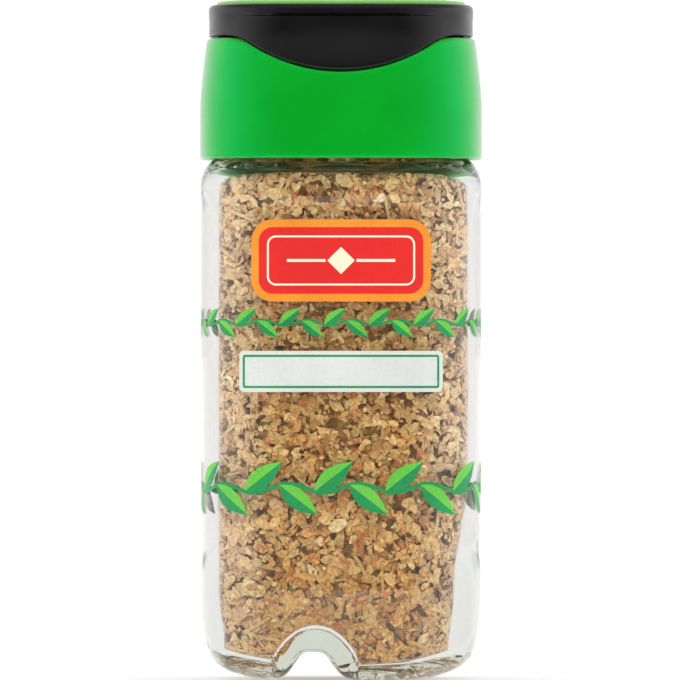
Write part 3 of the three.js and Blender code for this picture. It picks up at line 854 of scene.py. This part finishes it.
top = COLLAR["top"]
skirt_inner = COLLAR["half"] - COLLAR["wall"]
foot_edge = SKIRT_FOOT["edge"]
foot_line = arc(COLLAR["half"] - foot_edge, COLLAR["low"] + foot_edge, foot_edge, -90, -10, 5)
rings = [
    level(PLUG["inner"], COLLAR["deck_low"], 2),
    level(PLUG["inner"], PLUG["low"], 2),
    level(PLUG["outer"], PLUG["low"], 2),
    level(PLUG["outer"], COLLAR["deck_low"], 2),
    level(SNAP["inner"], COLLAR["deck_low"], 2),
    level(SNAP["inner"], SNAP["lip_top"], 2),
    level(SNAP["lip"], SNAP["lip_top"], 2),
    level(SNAP["lip"], SNAP["low"], 2),
    level(SNAP["outer"], SNAP["low"], 2),
    ceiling(SNAP["outer"], 2),
    ceiling(skirt_inner),
    level(skirt_inner, SKIRT_FOOT["straight_to"]),
    level(skirt_inner, COLLAR["low"] + SKIRT_FOOT["chamfer"]),
    level(skirt_inner + SKIRT_FOOT["chamfer"], COLLAR["low"]),
    *[level(x, z) for x, z in foot_line],
    *[skirt_face(part) for part in evenly(0.02, 1, 26)],
    *[skirt_edge(angle) for angle in evenly(15, 90, 5)],
    *[ledge(part) for part in evenly(0.2, 1, 4)],
    *[recess_wall(RECESS["half"] + RECESS["draft"] * (1 - part), part) for part in evenly(0.02, 0.95, 5)],
    level(RECESS["half"] - RECESS["edge"], top),
    *[level(half, top, power) for half, power in SQUARE_TO_ROUND],
    *[level(half, top + up, 2) for half, up in RIDGE_LINE],
]
sifter_holes = [(0, 0)] + [
    (SIFTER["ring"] * math.cos(a), SIFTER["ring"] * math.sin(a))
    for a in [2 * math.pi * (i + 0.5) / SIFTER["holes"] for i in range(SIFTER["holes"])]
]
ear_low = HINGE["y"] - EAR["front"]
channel = HINGE["barrel"] + SWING
collar = loft(rings)
for x, y in sifter_holes:
    collar = carved(collar, rod(SIFTER["radius"], x, y, *SIFTER["cut"]))
relief_low = (-RELIEF["half"], RELIEF["y"], top - RELIEF["depth"])
collar = carved(collar, box(relief_low, (RELIEF["half"], FAR, OVER)))
collar = carved(
    collar, bar(channel, -HINGE["half"] - SWING, HINGE["half"] + SWING, HINGE["y"], HINGE["z"])
)
collar = carved(collar, box((-EAR["end"], ear_low, HINGE["z"] - PIN["hole"]), (EAR["end"], FAR, OVER)))
for side in (-1, 1):
    near, far = sorted((side * EAR["start"], side * EAR["end"]))
    ear = bar(HINGE["barrel"], near, far, HINGE["y"], HINGE["z"], EAR["edge"])
    foot = box((near, ear_low, COLLAR["deck_low"] + INTO), (far, HINGE["y"] + EAR["back"], HINGE["z"] - INTO))
    ear = carved(ear, foot, "UNION")
    ear = carved(ear, bar(PIN["hole"], near - 1, far + 1, HINGE["y"], HINGE["z"]))
    collar = carved(collar, ear, "UNION")


def moulded(name, colour, deeper, roughness, tint, gloss=0.5, bloom=0.0):
    """Injection-moulded polypropylene: satin, waxy, with a fine even grain from the mould's face."""
    made, tree = blank(name)
    coords = node(tree, "TexCoord").outputs["Object"]
    cloud = node(tree, "TexNoise", {"Vector": coords, "Scale": 1 / (9 * MM), "Detail": 2.0})
    part = node(tree, "MapRange", {0: cloud.outputs["Fac"], 1: 0.35, 2: 0.65})
    mixed = {0: part.outputs[0], 6: linear(deeper), 7: linear(colour)}
    base = node(tree, "Mix", mixed, data_type="RGBA")
    fine = node(tree, "TexNoise", {"Vector": coords, "Scale": 1 / (0.35 * MM), "Detail": 2.0})
    worn = node(tree, "MapRange", {0: fine.outputs["Fac"], 3: roughness - 0.06, 4: roughness + 0.06})
    bump = node(tree, "Bump", {"Height": fine.outputs["Fac"], "Strength": 0.12, "Distance": 0.02 * MM})
    skin = {
        "Base Color": base.outputs[2],
        "Roughness": worn.outputs[0],
        "IOR": 1.49,
        "Specular IOR Level": gloss,
        "Specular Tint": linear(tint),
        "Sheen Weight": bloom,
        "Sheen Roughness": 0.4,
        "Subsurface Weight": 0.5,
        "Subsurface Radius": (1.0, 1.0, 1.0),
        "Subsurface Scale": 3 * MM,
        "Normal": bump.outputs[0],
    }
    node(tree, "OutputMaterial", {"Surface": node(tree, "BsdfPrincipled", skin).outputs[0]})
    return made


green = moulded("moulded_green_polypropylene", "#00aa10", "#00a50c", 0.24, "#50ffdc", 1.0, 0.3)
finished("collar", collar, green, "jar", ["cap_collar"], sharp=32)

# ---- Flip lid ----
# Black polypropylene, one moulding: a cover with an apron that hangs in the collar's wave, a hollow
# under its thumb lip, and inside a seal ring, seven pegs for the sifter holes, and the hinge's barrel.
LID = {"low": 100.93, "plate": 104, "top": 105.8, "edge": 0.8, "half": 20.75, "inner": 19.35, "fillet": 0.2}
LID_LINE = [(21.35, 95.48), (21.18, 97.3), (20.97, 99), (20.72, 100.9), (20.69, 103), (20.75, 104.3)]
APRON_INNER = [(20.15, 95.48), (LID["inner"], 100.93), (LID["inner"], 104)]
LID_FOOT = {"edge": 0.2, "cut": 0.06, "inner_edge": 0.12}
ROUND_TO_SQUARE = [(17.3, 3)]  # rings under the cover: half width, and power
SCOOP = {"depth": 0.8, "half": 14, "top": 104.3}
LIP_CORNER = (0.02, 0.2)  # two rings just over the scoop's top
CREASE = {"low": 103.86, "depth": 0.55, "from": 9, "to": 15.5}
CREASE_LINE = [(0.04, 0.5), (0.15, 0.85), (0.5, 1), (0.85, 0.9), (0.97, 0.6)]  # parts of its height and depth
# The seal ring, by its radius and height.
SEAL_LINE = [(14.15, 104), (14.3, 103.85), (14.3, 101), (14.5, 100.85)]
SEAL_LINE += [(15, 100.85), (15.3, 101.25), (15.3, 103.85), (15.45, 104)]
PEG = {"radius": 1.85, "low": 99.75, "edge": 0.5, "into": 0.3}
SEAT = {"half": 19.7, "low": 104.95, "edge": 0.1}
LID_GAP = 0.38

lid_line = np.array(spline(LID_LINE, 8))
inner_line = np.array(APRON_INNER)


def lid_half(z):
    return float(np.interp(z, lid_line[:, 1], lid_line[:, 0]))


def lid_inner_half(z):
    return float(np.interp(z, inner_line[:, 1], inner_line[:, 0]))


def lid_foot(c, s, half_at):
    """The height of the lid's lower edge in this direction, on the face that half_at gives."""
    z = LID["low"]
    for _ in range(3):
        z = wave(*plan(c, s, half_at(z))) + LID_GAP
    return z


def scooped(x, y, z):
    """The lid's front sinks in under the thumb lip, most in the middle."""
    if y > 0:
        return x, y, z
    aside = 1 - ramp(abs(x), 0, SCOOP["half"])
    return x, y + SCOOP["depth"] * aside * ramp(z, LID_LINE[0][1], SCOOP["top"]), z


def lid_face(part, inset=0.0, raised=0.0):
    """A ring of the outer face, part of the way up to the crease under the thumb lip."""
    def place(c, s):
        z = mix(lid_foot(c, s, lid_half) + raised, CREASE["low"], part)
        return scooped(*plan(c, s, lid_half(z) - inset), z)
    return place


def crease(up, inward):
    """A ring of the narrow groove under the lip, which fades out at each side of the front."""
    def place(c, s):
        z = mix(CREASE["low"], SCOOP["top"], up)
        x, y, z = scooped(*plan(c, s, lid_half(z)), z)
        deep = CREASE["depth"] * (1 - ramp(abs(x), CREASE["from"], CREASE["to"])) if y < 0 else 0
        return x, y + deep * inward, z
    return place


def lid_inner_face(part, outward=0.0):
    def place(c, s):
        z = mix(lid_foot(c, s, lid_inner_half), LID["plate"] - LID["fillet"], part)
        return (*plan(c, s, lid_inner_half(z) + outward), z)
    return place


top_edge = arc(LID["half"] - LID["edge"], LID["top"] - LID["edge"], LID["edge"], 0, 90, 8)
rings = [
    *[level(half, z, 2) for half, z in SEAL_LINE],
    *[level(half, LID["plate"], power) for half, power in ROUND_TO_SQUARE],
    level(LID["inner"] - LID["fillet"], LID["plate"]),
    *[lid_inner_face(part) for part in evenly(1, 0.03, 8)],
    lid_inner_face(0, LID_FOOT["inner_edge"]),
    lid_face(0, LID_FOOT["edge"]),
    lid_face(0, LID_FOOT["cut"], LID_FOOT["cut"]),
    *[lid_face(part, 0, LID_FOOT["edge"]) for part in evenly(0, 1, 16)],
    *[crease(up, inward) for up, inward in CREASE_LINE],
    *[level(LID["half"], SCOOP["top"] + up) for up in LIP_CORNER],
    *[level(x, z) for x, z in top_edge],
    level(SEAT["half"] + SEAT["edge"], LID["top"]),
    level(SEAT["half"], LID["top"] - SEAT["edge"]),
    level(SEAT["half"], SEAT["low"] + SEAT["edge"]),
    level(SEAT["half"] - SEAT["edge"], SEAT["low"]),
]
lid = loft(rings)
for x, y in sifter_holes:
    lid = carved(lid, rod(PEG["radius"], x, y, PEG["low"], LID["plate"] + PEG["into"], PEG["edge"]), "UNION")
for side in (-1, 1):
    near, far = sorted((side * (EAR["start"] - EAR["room"][0]), side * (EAR["end"] + EAR["room"][1])))
    lid = carved(lid, bar(channel, near, far, HINGE["y"], HINGE["z"]))
barrel = bar(HINGE["barrel"], -HINGE["half"], HINGE["half"], HINGE["y"], HINGE["z"], HINGE["edge"])
pins = bar(PIN["radius"], -PIN["end"], PIN["end"], HINGE["y"], HINGE["z"], PIN["edge"])
lid = carved(lid, carved(barrel, pins, "UNION"), "UNION")
black = moulded("moulded_black_polypropylene", "#0d0c0e", "#0a090b", 0.24, "#ffffff")
finished("lid", lid, black, "lid", ["flip_lid"], sharp=32)

# ---- Lid inlay ----
# A low-crowned green polypropylene plate, pressed into the seat in the top of the lid.
CROWN = {"half": 19.5, "low": 105.25, "top": 107, "drop": 0.75, "power": 3.5, "edge": 0.35, "foot_edge": 0.2}


def crown(half):
    return CROWN["top"] - CROWN["drop"] * (half / CROWN["half"]) ** CROWN["power"]


rim = CROWN["half"] - CROWN["edge"]
rings = [
    level(CROWN["half"] - CROWN["foot_edge"], CROWN["low"]),
    level(CROWN["half"], CROWN["low"] + CROWN["foot_edge"]),
    *[level(x, z) for x, z in arc(rim, crown(rim) - CROWN["edge"], CROWN["edge"], 0, 80, 6)],
    *[level(CROWN["half"] * part, crown(CROWN["half"] * part)) for part in evenly(0.95, 0.05, 18)],
]
pale_green = moulded("moulded_light_green_polypropylene", "#78b757", "#70b04e", 0.28, "#e0ffd0")
finished("inlay", loft(rings), pale_green, "lid", ["lid_inlay"], sharp=32)

# ---- Label ----
# A clear polypropylene film, wrapped round the shallow panel with its ends lapped by a back corner. It
# is screen-printed with opaque inks: a red plate, a white name strip, and two bands of leaves.
FILM = {"half": 21.85, "thick": 0.1, "low": 20.4, "high": 73.3}
# The half width where the first coat of ink lies, how thick each is, and the step from one to the next.
PRINT = {"half": 21.956, "ink": 0.008, "step": 0.01}
SLICE = 1.2  # how finely a print is divided, to bend round the corners
PLATE = {"wide": 28, "tall": 12.8, "corner": 3.4, "z": 65.7, "border": 1.2}
PLATE_LINE = {"thick": 0.3, "in": 2.5, "corner": 1.4}
ORNAMENT = {"square": 3, "corner": 0.05, "bar": 6, "bar_thick": 0.45, "bar_x": 5.4}
STRIP = {"wide": 32, "tall": 6.4, "corner": 0.8, "z": 48.4, "line": 0.35, "line_in": 0.6}
BANDS = {
    "lower": {"z": 30.2, "leaves": 28, "long": 7.6, "wide": 3.1, "stem": 0.7},
    "upper": {"z": 56, "leaves": 44, "long": 4.2, "wide": 1.8, "stem": 0.45},
}
# A leaf's tilt off the stem in degrees, how much it narrows, and the first one's place in leaf spacings.
LEAF = {"tilt": 38, "taper": 0.3, "first": 0.25}
BACK = {"wide": 34, "tall": 15, "corner": 1.5, "z": 45}
LAP = {"from": 52, "to": 57.5, "corner": 0.3}  # along the film, from the middle of the front towards +X

turns = np.linspace(-math.pi, math.pi, 2881)
ways = np.array([plan(math.sin(a), -math.cos(a), 1) for a in turns])
steps = np.linalg.norm(np.diff(ways, axis=0), axis=1) * FILM["half"]
along = np.concatenate([[0], np.cumsum(steps)])
GIRTH = along[-1]
along = along - GIRTH / 2


def wrapped(mesh, half):
    """Bends a flat mesh round the jar: X runs along the film, Y up it, and Z out of it."""
    for vert in mesh.verts:
        place, height, proud = vert.co
        x, y = (np.interp(place, along, column, period=GIRTH) for column in ways.T)
        vert.co = (x * (half + abs(proud)), y * (half + abs(proud)), height)
    return mesh


def printed(name, mesh, coat, material, slices=SLICE):
    """One ink: a flat shape, divided, given its thickness, and wrapped over the coats before it."""
    xs = [v.co.x for v in mesh.verts]
    for at in np.arange(math.ceil(min(xs) / slices) * slices, max(xs), slices):
        every = mesh.verts[:] + mesh.edges[:] + mesh.faces[:]
        bmesh.ops.bisect_plane(mesh, geom=every, dist=1e-4, plane_co=(at, 0, 0), plane_no=(1, 0, 0))
    bmesh.ops.solidify(mesh, geom=mesh.faces[:], thickness=PRINT["ink"])
    wrapped(mesh, PRINT["half"] + coat * PRINT["step"])
    return finished(name, mesh, material, "jar")


def panel(wide, tall, corner, x, z, line=0):
    """A flat plate with rounded corners, or with a line its outline alone."""
    mesh = bmesh.new()
    bmesh.ops.create_grid(mesh, x_segments=1, y_segments=1, size=0.5)
    bmesh.ops.scale(mesh, vec=(wide, tall, 1), verts=mesh.verts)
    bmesh.ops.bevel(
        mesh, geom=mesh.verts[:], offset=corner, segments=10, profile=0.5, affect="VERTICES", material=-1
    )
    if line:
        middle = mesh.faces[:]
        bmesh.ops.inset_region(mesh, faces=middle, thickness=line, use_boundary=True, use_even_offset=True)
        bmesh.ops.delete(mesh, geom=middle, context="FACES")
    bmesh.ops.translate(mesh, vec=(x, z, 0), verts=mesh.verts)
    return mesh


def stem_height(place, band):
    """The stem of a band rises and falls a little from leaf to leaf."""
    return band["z"] + band["stem"] * math.sin(place / GIRTH * band["leaves"] * math.pi)


def leaves(band, half=False):
    """A band's leaves, left and right of the stem in turn; with half, only the side above each midrib."""
    mesh = bmesh.new()
    for i in range(band["leaves"]):
        side = 1 if i % 2 else -1
        root = (i + LEAF["first"]) * GIRTH / band["leaves"] - GIRTH / 2
        tilt = Matrix.Rotation(side * math.radians(LEAF["tilt"]), 3, "Z")
        fresh = bmesh.ops.create_circle(mesh, cap_ends=True, segments=20, radius=1)["verts"]
        for vert in fresh:
            x, y = vert.co.x, vert.co.y
            y = (max(y, 0) if half else y) * abs(y) * (1 - LEAF["taper"] * x)
            place = Vector(((x + 1) / 2 * band["long"], y / 2 * band["wide"], 0))
            vert.co = tilt @ place + Vector((root, stem_height(root, band), 0))
    return mesh


def stem(band):
    """A band's stem, as a flat strip right round the jar."""
    mesh = bmesh.new()
    count = int(GIRTH / SLICE)
    bmesh.ops.create_grid(mesh, x_segments=count, y_segments=1, size=0.5)
    for vert in mesh.verts:
        place = vert.co.x * GIRTH
        vert.co = (place, stem_height(place, band) + vert.co.y * band["stem"], 0)
    return mesh


def ink(name, colour, deeper):
    """Screen-printed ink: opaque and even, a little glossy, with the faint mottle of its mesh."""
    made, tree = blank(name)
    coords = node(tree, "TexCoord").outputs["Object"]
    speck = node(tree, "TexNoise", {"Vector": coords, "Scale": 1 / (0.5 * MM), "Detail": 2.0})
    cloud = node(tree, "TexNoise", {"Vector": coords, "Scale": 1 / (6 * MM), "Detail": 1.0})
    both = node(tree, "Math", {0: speck.outputs["Fac"], 1: cloud.outputs["Fac"]}, operation="ADD")
    part = node(tree, "MapRange", {0: both.outputs[0], 1: 0.75, 2: 1.25})
    mixed = {0: part.outputs[0], 6: linear(deeper), 7: linear(colour)}
    base = node(tree, "Mix", mixed, data_type="RGBA")
    bump = node(tree, "Bump", {"Height": speck.outputs["Fac"], "Strength": 0.15, "Distance": 0.02 * MM})
    skin = {"Base Color": base.outputs[2], "Roughness": 0.38, "IOR": 1.5, "Normal": bump.outputs[0]}
    node(tree, "OutputMaterial", {"Surface": node(tree, "BsdfPrincipled", skin).outputs[0]})
    return made


# Clear cast film: all but invisible face on, and shining where it turns away.
clear, tree = blank("clear_label_film")
coords = node(tree, "TexCoord").outputs["Object"]
streak = node(tree, "TexNoise", {"Vector": coords, "Scale": 1 / (14 * MM), "Detail": 1.0})
rough = node(tree, "MapRange", {0: streak.outputs["Fac"], 3: 0.08, 4: 0.16})
sheen = node(tree, "BsdfGlossy", {"Color": linear("#ffffff"), "Roughness": rough.outputs[0]})
straight = node(tree, "BsdfTransparent", {"Color": linear("#ffffff")})
turned = node(tree, "LayerWeight", {"Blend": 0.5}).outputs["Facing"]
steep = node(tree, "Math", {0: turned, 1: 5.0}, operation="POWER").outputs[0]
shine = node(tree, "MapRange", {0: steep, 3: 0.0, 4: 0.4}).outputs[0]
surface = node(tree, "MixShader", {0: shine, 1: straight.outputs[0], 2: sheen.outputs[0]})
node(tree, "OutputMaterial", {"Surface": surface.outputs[0]})
outer = FILM["half"] + FILM["thick"]
rings = [level(FILM["half"], FILM["low"])]
rings += [level(outer, z) for z in evenly(FILM["low"], FILM["high"], 6)]
rings += [level(FILM["half"], z) for z in evenly(FILM["high"], FILM["low"], 6)[:-1]]
finished("label_film", loft(rings, joined=True), clear, "jar", ["wrap_label"])
middle = (LAP["from"] + LAP["to"]) / 2
tall = FILM["high"] - FILM["low"]
lap = panel(LAP["to"] - LAP["from"], tall, LAP["corner"], middle, (FILM["high"] + FILM["low"]) / 2)
printed("film_lap", lap, 0, clear)

red = ink("red_screen_ink", "#ea1408", "#e01006")
orange = ink("orange_screen_ink", "#f39a1e", "#ee8a14")
cream = ink("cream_screen_ink", "#fdf3d6", "#f8ecc8")
white = ink("white_screen_ink", "#dde0dc", "#d4d8d3")
dark_green = ink("green_screen_ink", "#079a50", "#048545")
light_green = ink("light_green_screen_ink", "#6cc83e", "#54ba3a")

inner = PLATE["border"]
shape = (PLATE["wide"], PLATE["tall"], PLATE["corner"], 0, PLATE["z"])
printed("plate_border", panel(*shape), 0, orange)
shape = (PLATE["wide"] - 2 * inner, PLATE["tall"] - 2 * inner, PLATE["corner"] - inner, 0, PLATE["z"])
printed("plate_field", panel(*shape), 1, red)
inner = PLATE_LINE["in"]
shape = (PLATE["wide"] - 2 * inner, PLATE["tall"] - 2 * inner, PLATE_LINE["corner"], 0, PLATE["z"])
printed("plate_line", panel(*shape, PLATE_LINE["thick"]), 2, cream)
ornament = panel(ORNAMENT["square"], ORNAMENT["square"], ORNAMENT["corner"], 0, 0)
bmesh.ops.rotate(ornament, matrix=Matrix.Rotation(math.pi / 4, 3, "Z"), verts=ornament.verts)
for side in (-1, 1):
    bar_size = Matrix.Diagonal((ORNAMENT["bar"], ORNAMENT["bar_thick"], 1, 1))
    place = Matrix.Translation((side * ORNAMENT["bar_x"], 0, 0)) @ bar_size
    bmesh.ops.create_grid(ornament, x_segments=1, y_segments=1, size=0.5, matrix=place)
bmesh.ops.translate(ornament, vec=(0, PLATE["z"], 0), verts=ornament.verts)
printed("plate_ornament", ornament, 2, cream)
shape = (STRIP["wide"], STRIP["tall"], STRIP["corner"], 0, STRIP["z"])
printed("name_strip", panel(*shape), 0, white)
inner = STRIP["line_in"]
shape = (STRIP["wide"] - 2 * inner, STRIP["tall"] - 2 * inner, STRIP["corner"] / 2, 0, STRIP["z"])
printed("name_strip_line", panel(*shape, STRIP["line"]), 1, dark_green)
for name, band in BANDS.items():
    printed(f"{name}_stem", stem(band), 0, dark_green, GIRTH)
    printed(f"{name}_leaves", leaves(band), 1, dark_green)
    printed(f"{name}_leaf_lights", leaves(band, half=True), 2, light_green)
printed("back_panel", panel(BACK["wide"], BACK["tall"], BACK["corner"], GIRTH / 2, BACK["z"]), 0, white)
